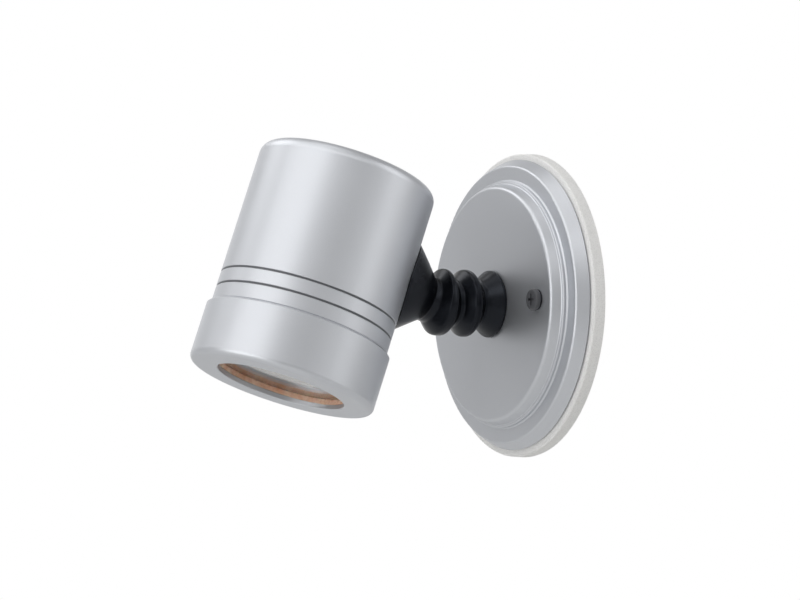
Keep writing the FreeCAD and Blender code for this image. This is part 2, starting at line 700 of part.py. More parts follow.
# ---- head
def head_housing():
    """Cast cup, closed at the top, with two grooves, a boss for the arm and a neck for the bezel."""
    corners = [
        (0, -HEAD_TOP),
        (HEAD_R, -HEAD_TOP, HEAD_TOP_ROUND),
    ]
    for start in GROOVE_FORE:
        corners += [
            (HEAD_R, start - GROOVE_WIDTH / 2, 0.15),
            (HEAD_R - GROOVE_DEPTH, start - GROOVE_WIDTH / 4, 0.15),
            (HEAD_R - GROOVE_DEPTH, start + GROOVE_WIDTH / 4, 0.15),
            (HEAD_R, start + GROOVE_WIDTH / 2, 0.15),
        ]
    ring_seat = NECK_R - 2 * O_RING_R
    corners += [
        (HEAD_R, BEZEL_REAR - FACE_CLEAR, 0.4),
        (NECK_R, BEZEL_REAR - FACE_CLEAR),
        (NECK_R, O_RING_FORE - O_RING_R - 0.1),
        (ring_seat, O_RING_FORE - O_RING_R - 0.1),
        (ring_seat, O_RING_FORE + O_RING_R + 0.1),
        (NECK_R, O_RING_FORE + O_RING_R + 0.1),
        (NECK_R, NECK_FRONT, 0.6),
        (NECK_R - NECK_WALL, NECK_FRONT, 0.4),
        (NECK_R - NECK_WALL, BEZEL_REAR - HEAD_WALL, 1.0),
        (HEAD_INNER_R, BEZEL_REAR - HEAD_WALL - 2, 1.0),
        (HEAD_INNER_R, HEAD_WALL - HEAD_TOP, HEAD_TOP_ROUND - HEAD_WALL),
        (0, HEAD_WALL - HEAD_TOP),
    ]
    cup = turned(corners, HEAD_CENTRE, DOWN)
    bulk = rod(BOSS_R, reach(FLANGE_REACH + ARM_SEAL_T), reach(ARM_LENGTH - BOSS_INNER))
    posts = [rod(POST_R, fore(BRACKET_REAR, x), fore(1 - HEAD_TOP, x)) for x in (-POST_OFFSET, POST_OFFSET)]
    cup = cup.fuse([bulk] + posts)
    cup = cup.cut(rod(STEM_R + SCREW_CLEAR, reach(0), reach(ARM_LENGTH)))
    for x in (-POST_OFFSET, POST_OFFSET):
        depth = BRACKET_REAR - BRACKET_SCREW_GRIP - 1
        cup = cup.cut(rod(BRACKET_SCREW_R + THREAD_CLEAR, fore(BRACKET_REAR + 1, x), fore(depth, x)))
    return tilted(cup)


def front_bezel():
    """Screwed ring round the lens, with a rounded front edge and a 56 mm aperture."""
    bore = NECK_R + RUN_CLEAR
    pocket = SEAL_R + SOFT_CLEAR
    corners = [
        (bore, BEZEL_REAR, 0.4),
        (BEZEL_R, BEZEL_REAR, BEZEL_CHAMFER),
        (BEZEL_R, BEZEL_FRONT, BEZEL_ROUND),
        (APERTURE_R, BEZEL_FRONT, 0.4),
        (APERTURE_R, LIP_REAR, 0.2),
        (pocket, LIP_REAR),
        (pocket, NECK_FRONT + 1),
        (bore, NECK_FRONT + 1),
    ]
    return tilted(turned(corners, HEAD_CENTRE, DOWN))


def body_o_ring():
    """Round-section seal in the neck's groove, under the bezel."""
    ring = Part.makeTorus(NECK_R - O_RING_R, O_RING_R - THREAD_CLEAR, fore(O_RING_FORE), DOWN)
    return tilted(ring)


def lens_glass():
    """Toughened flat glass."""
    corners = [
        (0, LENS_REAR),
        (LENS_R, LENS_REAR, 0.4),
        (LENS_R, LENS_FRONT, 0.4),
        (0, LENS_FRONT),
    ]
    return tilted(turned(corners, HEAD_CENTRE, DOWN))


def lens_gasket():
    """Channel of amber silicone round the rim of the glass, between the neck and the bezel's lip."""
    inner = APERTURE_R
    glass_r = LENS_R + THREAD_CLEAR
    corners = [
        (inner + 2, LENS_REAR - LENS_SEAL_REAR),
        (SEAL_R, LENS_REAR - LENS_SEAL_REAR, 0.3),
        (SEAL_R, SEAL_FRONT, 0.3),
        (inner, SEAL_FRONT, 0.2),
        (inner, LENS_FRONT, 0.2),
        (glass_r, LENS_FRONT),
        (glass_r, LENS_REAR),
        (inner + 2, LENS_REAR),
    ]
    return tilted(turned(corners, HEAD_CENTRE, DOWN))


# ---- lamp
def lamp_reflector():
    """Reflector lamp's bell, hollow, from its rim to its waist."""
    wall = LAMP_SHELL_WALL
    rim = LAMP_FRONT - LAMP_RIM_T
    waist = LAMP_SHELL_REAR
    corners = [
        (LAMP_R, LAMP_FRONT, 0.4),
        (LAMP_R, rim, 0.4),
        (LAMP_R - 1.6, rim - 1.0, 0.4),
        (LAMP_WAIST_R + 4.6, waist + 11, 12.0),
        (LAMP_WAIST_R, waist, 0.4),
        (0, waist),
        (0, waist + wall),
        (LAMP_WAIST_R - wall, waist + wall, 3.0),
        (LAMP_WAIST_R + 4.6 - wall, waist + 11, 12.0),
        (LAMP_R - 1.6 - wall, rim - 1.0, 0.4),
        (LAMP_R - wall, LAMP_FRONT - LAMP_GLASS_T),
        (LAMP_R - wall, LAMP_FRONT),
    ]
    return tilted(turned(corners, HEAD_CENTRE, DOWN))


def lamp_cover():
    """Glass disc across the reflector's mouth."""
    corners = [
        (0, LAMP_FRONT - LAMP_GLASS_T),
        (LAMP_R - LAMP_SHELL_WALL - THREAD_CLEAR, LAMP_FRONT - LAMP_GLASS_T),
        (LAMP_R - LAMP_SHELL_WALL - THREAD_CLEAR, LAMP_FRONT),
        (0, LAMP_FRONT),
    ]
    return tilted(turned(corners, HEAD_CENTRE, DOWN))


def lamp_base():
    """Ceramic base between the reflector and the pins."""
    corners = [
        (0, LAMP_REAR),
        (LAMP_BASE_R, LAMP_REAR, 0.8),
        (LAMP_BASE_R, LAMP_SHELL_REAR - 4, 1.0),
        (LAMP_WAIST_R - 1, LAMP_SHELL_REAR, 0.4),
        (0, LAMP_SHELL_REAR),
    ]
    return tilted(turned(corners, HEAD_CENTRE, DOWN))


def pin_profile(extra):
    """Mushroom pin's outline, or its socket's when extra is more than nothing."""
    end = LAMP_REAR - PIN_LENGTH - extra
    if extra > 0:
        return [(0, end), (PIN_HEAD_R + extra, end), (PIN_HEAD_R + extra, LAMP_REAR), (0, LAMP_REAR)]
    neck = end + PIN_HEAD_T
    return [(0, end), (PIN_HEAD_R, end, 0.4), (PIN_HEAD_R, neck), (PIN_R, neck), (PIN_R, LAMP_REAR), (0, LAMP_REAR)]


def lamp_pins():
    """Two mushroom pins of the twist-and-lock base."""
    sides = (-PIN_SPACING / 2, PIN_SPACING / 2)
    return grouped([tilted(turned(pin_profile(0.0), fore(0, x), DOWN)) for x in sides])


def lampholder():
    """Ceramic twist-and-lock holder with a socket for each pin."""
    corners = [
        (0, HOLDER_REAR),
        (HOLDER_R, HOLDER_REAR, HOLDER_ROUND),
        (HOLDER_R, LAMP_REAR, HOLDER_ROUND),
        (0, LAMP_REAR),
    ]
    holder = turned(corners, HEAD_CENTRE, DOWN)
    for x in (-PIN_SPACING / 2, PIN_SPACING / 2):
        holder = holder.cut(turned(pin_profile(0.4), fore(0, x), DOWN))
    return tilted(holder)


def holder_bracket():
    """Steel strip that carries the lampholder across two posts in the head."""
    half = POST_OFFSET + POST_R
    width = BRACKET_WIDTH / 2
    size = V(2 * half, 2 * width, BRACKET_T)
    strip = Part.makeBox(size.x, size.y, size.z, fore(HOLDER_REAR, -half, -width))
    for x in (-POST_OFFSET, POST_OFFSET):
        strip = strip.cut(rod(BRACKET_SCREW_R + SCREW_CLEAR, fore(HOLDER_REAR + 1, x), fore(BRACKET_REAR - 1, x)))
    strip = strip.cut(rod(WIRE_BORE_R, fore(HOLDER_REAR + 1), fore(BRACKET_REAR - 1)))
    return tilted(strip)


def bracket_screws():
    """Two screws that hold the strip to its posts."""
    tip = BRACKET_REAR - BRACKET_SCREW_GRIP
    corners = [
        (0, tip),
        (BRACKET_SCREW_R, tip, 0.4),
        (BRACKET_SCREW_R, HOLDER_REAR),
        (BRACKET_HEAD_R, HOLDER_REAR),
        (BRACKET_HEAD_R, HOLDER_REAR + BRACKET_HEAD_T, 0.9),
        (0, HOLDER_REAR + BRACKET_HEAD_T),
    ]
    return grouped([tilted(turned(corners, fore(0, x), DOWN)) for x in (-POST_OFFSET, POST_OFFSET)])


NODES = (
    wall_gasket,
    back_plate,
    box_strap,
    fixture_strap,
    strap_rivet,
    ground_screw,
    plate_screws,
    screw_seals,
    swivel_bush,
    swivel_stem,
    stop_washer,
    friction_spring,
    stem_nut,
    knuckle_bolt,
    knuckle_nut,
    friction_discs,
    rubber_boot,
    knuckle_tongue,
    arm_seal,
    head_nut,
    head_housing,
    front_bezel,
    body_o_ring,
    lens_glass,
    lens_gasket,
    lamp_reflector,
    lamp_cover,
    lamp_base,
    lamp_pins,
    lampholder,
    holder_bracket,
    bracket_screws,
)


def main():
    """Builds every node and writes it under its own name."""
    os.makedirs("parts", exist_ok=True)
    for make in NODES:
        shape = make()
        centre = shape.BoundBox.Center
        print(
            f"{make.__name__:16s} solids {len(shape.Solids)} valid {shape.isValid()} "
            f"volume {shape.Volume:9.1f} centre {centre.x:7.2f} {centre.y:7.2f} {centre.z:7.2f}"
        )
        shape.exportStep(f"parts/{make.__name__}.step")


main()
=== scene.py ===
"""Looks of the pivoting spotlight wall light, built round its solids.

The shared frame is in metres. X runs along the wall, +Y goes into it, Z is up, and the origin is the centre
of the gasket's back face. "out" is the distance from the wall, along -Y. "fore" is the distance along the
head's axis, from the arm's axis towards the lens.
"""

import json
import logging
import math
from dataclasses import dataclass
from enum import Enum
from functools import cache
from typing import Sequence

import bmesh
import bpy
import numpy as np
from mathutils import Matrix, Vector


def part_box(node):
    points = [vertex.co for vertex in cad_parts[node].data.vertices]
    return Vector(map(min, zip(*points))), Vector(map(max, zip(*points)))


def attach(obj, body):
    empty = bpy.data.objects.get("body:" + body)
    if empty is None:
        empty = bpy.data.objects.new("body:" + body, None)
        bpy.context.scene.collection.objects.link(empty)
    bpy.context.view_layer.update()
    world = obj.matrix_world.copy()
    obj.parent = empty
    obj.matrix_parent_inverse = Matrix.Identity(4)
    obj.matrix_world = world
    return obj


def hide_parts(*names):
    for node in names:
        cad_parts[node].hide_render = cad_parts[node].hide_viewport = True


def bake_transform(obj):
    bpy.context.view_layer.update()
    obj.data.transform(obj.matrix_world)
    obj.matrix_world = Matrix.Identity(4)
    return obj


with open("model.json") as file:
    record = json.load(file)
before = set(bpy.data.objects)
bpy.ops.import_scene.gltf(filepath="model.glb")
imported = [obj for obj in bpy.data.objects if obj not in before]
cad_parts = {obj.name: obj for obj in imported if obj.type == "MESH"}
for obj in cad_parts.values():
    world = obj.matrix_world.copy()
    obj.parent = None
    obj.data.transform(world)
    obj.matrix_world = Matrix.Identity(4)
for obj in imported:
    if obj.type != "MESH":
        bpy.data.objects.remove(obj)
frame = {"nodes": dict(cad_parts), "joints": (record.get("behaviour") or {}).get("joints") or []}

LOG = logging.getLogger("wall_light")
MM = 0.001
WELD = 1e-8
ARC_ROOM = 0.49
# mesh layer of groove depth, which sets the paint's painted shade in the grooves
GROOVE_LAYER = "groove_depth"
Triple = tuple[float, float, float]
Colour = Triple
Corner = Triple


# -------------------------------------------------------------------------------------------- shader writing
class Link:
    """Output of a node, with arithmetic that adds Math nodes."""

    def __init__(self, graph: "Graph", socket: bpy.types.NodeSocket) -> None:
        """Keeps the graph that the socket belongs to."""
        self.graph = graph
        self.socket = socket

    def _math(self, operation: str, first: "Link | float", second: "Link | float") -> "Link":
        """Adds a Math node.

        Args:
            operation: The node's operation.
            first: Its first value.
            second: Its second value.

        Returns:
            The node's output.
        """
        return self.graph.add("ShaderNodeMath", {"operation": operation}, {0: first, 1: second})

    def __add__(self, other: "Link | float") -> "Link":
        """Sum."""
        return self._math("ADD", self, other)

    def __radd__(self, other: float) -> "Link":
        """Sum, from the right."""
        return self._math("ADD", other, self)

    def __sub__(self, other: "Link | float") -> "Link":
        """Difference."""
        return self._math("SUBTRACT", self, other)

    def __rsub__(self, other: float) -> "Link":
        """Difference, from the right."""
        return self._math("SUBTRACT", other, self)

    def __mul__(self, other: "Link | float") -> "Link":
        """Product."""
        return self._math("MULTIPLY", self, other)

    def __rmul__(self, other: float) -> "Link":
        """Product, from the right."""
        return self._math("MULTIPLY", other, self)

    def larger(self, other: "Link | float") -> "Link":
        """The larger of two values."""
        return self._math("MAXIMUM", self, other)

    def band(self, low: float, high: float) -> "Link":
        """Smooth step from 0 at low to 1 at high."""
        sockets = {"Value": self, "From Min": low, "From Max": high}
        return self.graph.add("ShaderNodeMapRange", {"interpolation_type": "SMOOTHSTEP"}, sockets)


class Graph:
    """Node tree of one material or of the world."""

    def __init__(self, tree: bpy.types.NodeTree) -> None:
        """Empties the tree."""
        self.tree = tree
        tree.nodes.clear()

    def add(self, kind: str, settings: dict, sockets: dict, output: int | str = 0) -> Link:
        """Adds a node, sets it up and then fills its sockets.

        Args:
            kind: The node's type.
            settings: Its own settings.
            sockets: Value or link of each input, by name or number.
            output: The output wanted.

        Returns:
            That output.
        """
        node = self.tree.nodes.new(kind)
        for name, value in settings.items():
            setattr(node, name, value)
        for name, value in sockets.items():
            if isinstance(value, Link):
                self.tree.links.new(value.socket, node.inputs[name])
            else:
                node.inputs[name].default_value = value
        return Link(self, node.outputs[output])

    def end(self, kind: str, surface: Link) -> None:
        """Adds the output node of this kind and joins the surface to it."""
        output = self.tree.nodes.new(kind)
        self.tree.links.new(surface.socket, output.inputs["Surface"])

    def place(self, scale: Triple = (1.0, 1.0, 1.0)) -> Link:
        """Object coordinates, stretched by these factors."""
        here = self.add("ShaderNodeTexCoord", {}, {}, "Object")
        return self.add("ShaderNodeMapping", {"vector_type": "POINT"}, {"Vector": here, "Scale": scale})

    def noise(self, where: Link, scale: float, detail: float, rough: float = 0.5) -> Link:
        """Soft noise between 0 and 1, with this many features a metre.

        Args:
            where: Coordinates that it is read at.
            scale: Features a metre.
            detail: How many finer layers are added.
            rough: Share that each finer layer has of the one before.

        Returns:
            The noise.
        """
        sockets = {"Vector": where, "Scale": scale, "Detail": detail, "Roughness": rough}
        return self.add("ShaderNodeTexNoise", {}, sockets)

    def cells(self, where: Link, scale: float) -> Link:
        """Distance to the nearest cell's middle, with this many cells a metre."""
        return self.add("ShaderNodeTexVoronoi", {}, {"Vector": where, "Scale": scale}, "Distance")

    def mix(self, factor: Link | float, first: Link | Colour, second: Link | Colour) -> Link:
        """Colour between two colours."""
        ends = [c if isinstance(c, Link) else (*c, 1.0) for c in (first, second)]
        settings = {"data_type": "RGBA", "blend_type": "MIX"}
        return self.add("ShaderNodeMix", settings, {0: factor, 6: ends[0], 7: ends[1]}, 2)

    def bump(self, height: Link, depth: float) -> Link:
        """Normal of a surface whose relief is this deep, in metres."""
        return self.add("ShaderNodeBump", {}, {"Height": height, "Distance": depth})

    def ray(self, kind: str) -> Link:
        """1 for rays of this kind and 0 for others."""
        return self.add("ShaderNodeLightPath", {}, {}, f"Is {kind} Ray")

    def mirrored_ray(self) -> Link:
        """1 for rays off metal or through glass and 0 for others."""
        return self.ray("Glossy").larger(self.ray("Transmission"))

    def principled(self, sockets: dict) -> Link:
        """Surface with these values or links in its sockets."""
        return self.add("ShaderNodeBsdfPrincipled", {}, sockets)


@dataclass(frozen=True)
class Finish:
    """A finish, made into a material the first time that it is asked for."""

    name: str
    colour: Colour
    roughness: float

    def surface(self, graph: Graph) -> Link:
        """Shader of the finish.

        Args:
            graph: The material's node tree.

        Returns:
            The shader's output.
        """
        raise NotImplementedError

    @cache
    def material(self) -> bpy.types.Material:
        """The finish's material."""
        made = bpy.data.materials.new(self.name)
        made.use_nodes = True
        graph = Graph(made.node_tree)
        graph.end("ShaderNodeOutputMaterial", self.surface(graph))
        made.diffuse_color = (*self.colour, 1.0)
        return made

    def shifted(self, graph: Graph, factor: Link, swing: float) -> Link:
        """The finish's colour, drifting by this share as the factor goes from 0 to 1."""
        darker, lighter = (tuple(min(1.0, c * (1.0 + side * swing)) for c in self.colour) for side in (-1, 1))
        return graph.mix(factor, darker, lighter)


@dataclass(frozen=True)
class SatinPaint(Finish):
    """Silver-grey metallic paint on a casting: fine flakes, a faint orange peel and a slight drift in gloss.

    It darkens towards the bottom of narrow grooves by the mesh's groove layer, and turns rougher there:
    painted shade in the grooves.
    """

    metallic: float
    flakes: float
    peel_depth: float
    # colour of the painted shade at the bottom of the grooves
    painted_groove_shade: Colour
    peel: float = 1100.0
    drift: float = 45.0
    swing: float = 0.07
    groove_roughness: float = 0.2

    def surface(self, graph: Graph) -> Link:
        """Shader of the finish."""
        here = graph.place()
        flake = graph.noise(here, self.flakes, 1.0)
        drift = graph.noise(here, self.drift, 3.0)
        peel = graph.noise(here, self.peel, 2.0)
        colour = self.shifted(graph, flake * 0.8 + drift * 0.2, self.swing)
        depth = graph.add("ShaderNodeAttribute", {"attribute_name": GROOVE_LAYER}, {}, "Fac")
        gloss = drift * 0.06 + flake * 0.08 + depth * self.groove_roughness
        sockets = {
            # painted shade: the colour darkens towards the bottom of the grooves
            "Base Color": graph.mix(depth, colour, self.painted_groove_shade),
            "Metallic": self.metallic,
            "Roughness": gloss + (self.roughness - 0.07),
            "Normal": graph.bump(peel + flake * 0.35, self.peel_depth),
        }
        return graph.principled(sockets)


@dataclass(frozen=True)
class Metal(Finish):
    """Bare or plated metal with marks drawn along the grain axis."""

    grain: Triple
    mottle: float
    marks: float = 400.0
    spots: float = 260.0
    mark_depth: float = 0.02 * MM

    def surface(self, graph: Graph) -> Link:
        """Shader of the finish."""
        marks = graph.noise(graph.place(self.grain), self.marks, 3.0, 0.6)
        spots = graph.noise(graph.place(), self.spots, 4.0, 0.6)
        sockets = {
            "Base Color": self.shifted(graph, marks * 0.5 + spots * 0.5, self.mottle),
            "Metallic": 1.0,
            "Roughness": marks * 0.14 + spots * 0.1 + (self.roughness - 0.12),
            "Normal": graph.bump(marks, self.mark_depth),
        }
        return graph.principled(sockets)


@dataclass(frozen=True)
class Moulded(Finish):
    """Moulded rubber, plastic, fibre or ceramic with a fine skin."""

    skin: float
    relief: float
    mottle: float
    sheen: float = 0.0
    specular: float = 0.5
    gloss: Colour = (1.0, 1.0, 1.0)
    clouds: float = 90.0
    sheen_roughness: float = 0.4

    def surface(self, graph: Graph) -> Link:
        """Shader of the finish."""
        here = graph.place()
        fine = graph.noise(here, self.skin, 3.0, 0.55)
        broad = graph.noise(here, self.clouds, 4.0, 0.6)
        sockets = {
            "Base Color": self.shifted(graph, broad * 0.6 + fine * 0.4, self.mottle),
            "Roughness": broad * 0.16 + fine * 0.1 + (self.roughness - 0.13),
            "Specular IOR Level": self.specular,
            "Specular Tint": (*self.gloss, 1.0),
            "Sheen Weight": self.sheen,
            "Sheen Roughness": self.sheen_roughness,
            "Normal": graph.bump(fine, self.relief),
        }
        return graph.principled(sockets)


@dataclass(frozen=True)
class Foam(Finish):
    """Closed-cell foam: small pores, a soft mottling and a darker colour towards the middle of each pore."""

    pores: float
    mottle: float = 120.0
    shade: float = 0.86
    sheen: float = 0.15
    pore_depth: float = 0.08 * MM

    def surface(self, graph: Graph) -> Link:
        """Shader of the finish."""
        here = graph.place()
        pore = graph.cells(here, self.pores).band(0.12, 0.55)
        soft = graph.noise(here, self.mottle, 3.0)
        shade = tuple(c * self.shade for c in self.colour)
        sockets = {
            "Base Color": graph.mix(pore * 0.7 + soft * 0.3, shade, self.colour),
            "Roughness": soft * 0.1 + (self.roughness - 0.05),
            "Sheen Weight": self.sheen,
            "Normal": graph.bump(pore * 0.7 + soft * 0.5, self.pore_depth),
        }
        return graph.principled(sockets)


@dataclass(frozen=True)
class Silicone(Finish):
    """Translucent amber silicone with deeper clouds in it and a wet sheen."""

    deep: Colour
    clouds: float = 160.0
    skin: float = 900.0
    glow: float = 0.25
    glow_depth: float = 1.2 * MM
    relief: float = 0.12 * MM

    def surface(self, graph: Graph) -> Link:
        """Shader of the finish."""
        here = graph.place()
        cloud = graph.noise(here, self.clouds, 4.0, 0.6)
        fine = graph.noise(here, self.skin, 2.0)
        sockets = {
            "Base Color": graph.mix(cloud.band(0.3, 0.75), self.deep, self.colour),
            "Roughness": fine * 0.2 + (self.roughness - 0.1),
            "Subsurface Weight": self.glow,
            "Subsurface Radius": (0.9, 0.4, 0.15),
            "Subsurface Scale": self.glow_depth,
            "Normal": graph.bump(cloud + fine * 0.3, self.relief),
        }
        return graph.principled(sockets)


@dataclass(frozen=True)
class Glass(Finish):
    """Clear glass with the faintest waviness and dust."""

    ior: float = 1.5
    waves: float = 60.0
    wave_depth: float = 0.01 * MM
    dust: float = 700.0

    def surface(self, graph: Graph) -> Link:
        """Shader of the finish."""
        here = graph.place()
        wave = graph.noise(here, self.waves, 1.0)
        dust = graph.noise(here, self.dust, 4.0, 0.7).band(0.55, 0.8)
        sockets = {
            "Base Color": (*self.colour, 1.0),
            "Transmission Weight": 1.0,
            "IOR": self.ior,
            "Roughness": dust * 0.06 + self.roughness,
            "Normal": graph.bump(wave, self.wave_depth),
        }
        return graph.principled(sockets)


@dataclass(frozen=True)
class PaleFloor(Finish):
    """Matt pale floor, which the camera sees as whiter by one share, and metal and glass by another."""

    whiter: float
    mirrored: float
    mottle: float = 300.0
    swing: float = 0.01

    def surface(self, graph: Graph) -> Link:
        """Shader of the finish."""
        colour = self.shifted(graph, graph.noise(graph.place(), self.mottle, 3.0), self.swing)
        matt = graph.add("ShaderNodeBsdfDiffuse", {}, {"Color": colour})
        white = graph.add("ShaderNodeEmission", {}, {"Color": (1.0, 1.0, 1.0, 1.0), "Strength": 1.0})
        share = (graph.mirrored_ray() * self.mirrored).larger(graph.ray("Camera") * self.whiter)
        return graph.add("ShaderNodeMixShader", {}, {0: share, 1: matt, 2: white})


class Finishes(Enum):
    """Every finish on the light."""

    PAINT = SatinPaint(
        "satin_silver",
        (0.60, 0.615, 0.645),
        0.42,
        metallic=0.85,
        flakes=4200.0,
        peel_depth=0.008 * MM,
        # painted shade at the bottom of the head's grooves
        painted_groove_shade=(0.25, 0.256, 0.268),
    )
    FOAM = Foam("white_foam", (0.93, 0.925, 0.91), 0.85, 1500.0)
    RUBBER = Moulded(
        "boot_rubber",
        (0.0016, 0.0019, 0.0032),
        0.24,
        skin=2400.0,
        relief=0.005 * MM,
        mottle=0.25,
        specular=0.27,
        gloss=(0.78, 0.85, 1.0),
    )
    ZINC = Metal("zinc_plated", (0.62, 0.62, 0.59), 0.34, (8.0, 1.0, 1.0), 0.10)
    ZINC_UPRIGHT = Metal("zinc_plated_upright", (0.62, 0.62, 0.59), 0.34, (1.0, 1.0, 0.12), 0.10)
    TURNED = Metal("turned_steel", (0.56, 0.56, 0.55), 0.30, (1.0, 9.0, 1.0), 0.08)
    DARK = Moulded("blackened_steel", (0.085, 0.087, 0.094), 0.38, 900.0, 0.010 * MM, 0.25, specular=0.30)
    EARTH = Metal("green_screw", (0.06, 0.30, 0.12), 0.38, (1.0, 1.0, 1.0), 0.12)
    BRASS = Metal("bare_brass", (0.72, 0.54, 0.26), 0.28, (1.0, 1.0, 6.0), 0.08)
    BRIGHT = Metal("bright_reflector", (0.86, 0.86, 0.87), 0.14, (1.0, 1.0, 1.0), 0.03)
    NYLON = Moulded("natural_nylon", (0.76, 0.74, 0.68), 0.45, 1400.0, 0.010 * MM, 0.05)
    FIBRE = Moulded("red_fibre", (0.30, 0.09, 0.05), 0.70, 1800.0, 0.030 * MM, 0.18)
    CERAMIC = Moulded("white_ceramic", (0.84, 0.82, 0.77), 0.55, 1100.0, 0.020 * MM, 0.05)
    SILICONE = Silicone("amber_seal", (0.98, 0.71, 0.55), 0.28, (0.76, 0.39, 0.24))
    GLASS = Glass("lens_glass", (0.97, 0.985, 0.98), 0.02)
    LAMP_GLASS = Glass("clear_lamp_glass", (0.98, 0.98, 0.97), 0.05)


# ---------------------------------------------------------------------------------------------- mesh writing
def rounded(corners: Sequence[Corner], arc_points: int = 6) -> np.ndarray:
    """Closed outline whose corners are arcs tangent to their two sides.

    An arc of radius f at a corner with half angle h touches its sides f / tan(h) from the corner, or just
    short of a side's middle if that is nearer. Its points are the centre plus f times a unit vector that
    turns evenly from one contact to the other.

    Args:
        corners: (distance, radius, rounding) of each corner. One with no rounding stays sharp.
        arc_points: Points on each arc.

    Returns:
        The outline's (distance, radius) points.
    """
    places = np.array([c[:2] for c in corners], float)
    runs = []
    for i, corner in enumerate(corners):
        here = places[i]
        if corner[2] <= 0:
            runs.append(here[None])
            continue
        back = places[i - 1] - here
        ahead = places[(i + 1) % len(places)] - here
        room = ARC_ROOM * min(np.linalg.norm(back), np.linalg.norm(ahead))
        back, ahead = back / np.linalg.norm(back), ahead / np.linalg.norm(ahead)
        half = math.acos(float(np.clip(back @ ahead, -1, 1))) / 2
        touch = min(corner[2] / math.tan(half), room)
        radius = touch * math.tan(half)
        middle = (back + ahead) / np.linalg.norm(back + ahead)
        centre = here + middle * radius / math.sin(half)
        first, last = (here + back * touch - centre) / radius, (here + ahead * touch - centre) / radius
        sweep = math.acos(float(np.clip(first @ last, -1, 1)))
        share = np.linspace(0, 1, arc_points)[:, None]
        turned_unit = (np.sin((1 - share) * sweep) * first + np.sin(share * sweep) * last) / math.sin(sweep)
        runs.append(centre + radius * turned_unit)
    return np.concatenate(runs)


def divided(points: np.ndarray, longest: float) -> np.ndarray:
    """Closed outline with its long runs cut into even steps.

    Args:
        points: The outline's points.
        longest: Greatest length of a step.

    Returns:
        The outline with the points between.
    """
    parts = []
    for start, end in zip(points, np.roll(points, -1, axis=0)):
        count = max(1, math.ceil(np.linalg.norm(end - start) / longest))
        share = np.arange(count)[:, None] / count
        parts.append(start + (end - start) * share)
    return np.concatenate(parts)


def round_grid(outline: np.ndarray, columns: int) -> tuple[np.ndarray, np.ndarray, np.ndarray]:
    """Grid of an outline, one row to a point, repeated in even steps of angle round an axis.

    Args:
        outline: Its (distance, radius) points.
        columns: Steps of angle.

    Returns:
        Distance, radius and angle at each point of the grid.
    """
    angle = np.linspace(0, 2 * math.pi, columns, endpoint=False)[None, :]
    distance, radius = (outline[:, k, None] + 0 * angle for k in (0, 1))
    return distance, radius, angle + 0 * distance


def skin(
    name: str, points: np.ndarray, wrap_rows: bool = True, wrap_columns: bool = True, smooth: bool = True
) -> bpy.types.Object:
    """Mesh of quads through a grid of points, with its faces outwards.

    The signed volume is a sixth of the sum of the triple products of each triangle's corners, and a
    negative one turns every face round.

    Args:
        name: Name of the piece.
        points: Grid of points, rows by columns by 3.
        wrap_rows: Whether the last row joins the first.
        wrap_columns: Whether the last column joins the first.
        smooth: Whether the faces are shaded smooth.

    Returns:
        The piece, with its object at the origin.
    """
    rows, columns = points.shape[:2]
    index = np.arange(rows * columns).reshape(rows, columns)
    if wrap_rows:
        index = np.vstack([index, index[:1]])
    if wrap_columns:
        index = np.hstack([index, index[:, :1]])
    quads = np.stack([index[:-1, :-1], index[:-1, 1:], index[1:, 1:], index[1:, :-1]], axis=-1).reshape(-1, 4)
    flat = points.reshape(-1, 3)
    a, b, c, d = (flat[quads[:, k]] for k in range(4))
    volume = np.einsum("ij,ij->", a, np.cross(b, c)) + np.einsum("ij,ij->", a, np.cross(c, d))
    if volume < 0:
        quads = quads[:, ::-1]
    mesh = bpy.data.meshes.new(name)
    mesh.from_pydata(flat.tolist(), [], quads.tolist())
    work = bmesh.new()
    work.from_mesh(mesh)
    bmesh.ops.remove_doubles(work, verts=work.verts, dist=WELD)
    work.to_mesh(mesh)
    work.free()
    mesh.polygons.foreach_set("use_smooth", np.full(len(mesh.polygons), smooth))
    mesh.update()
    piece = bpy.data.objects.new(name, mesh)
    bpy.context.scene.collection.objects.link(piece)
    return piece


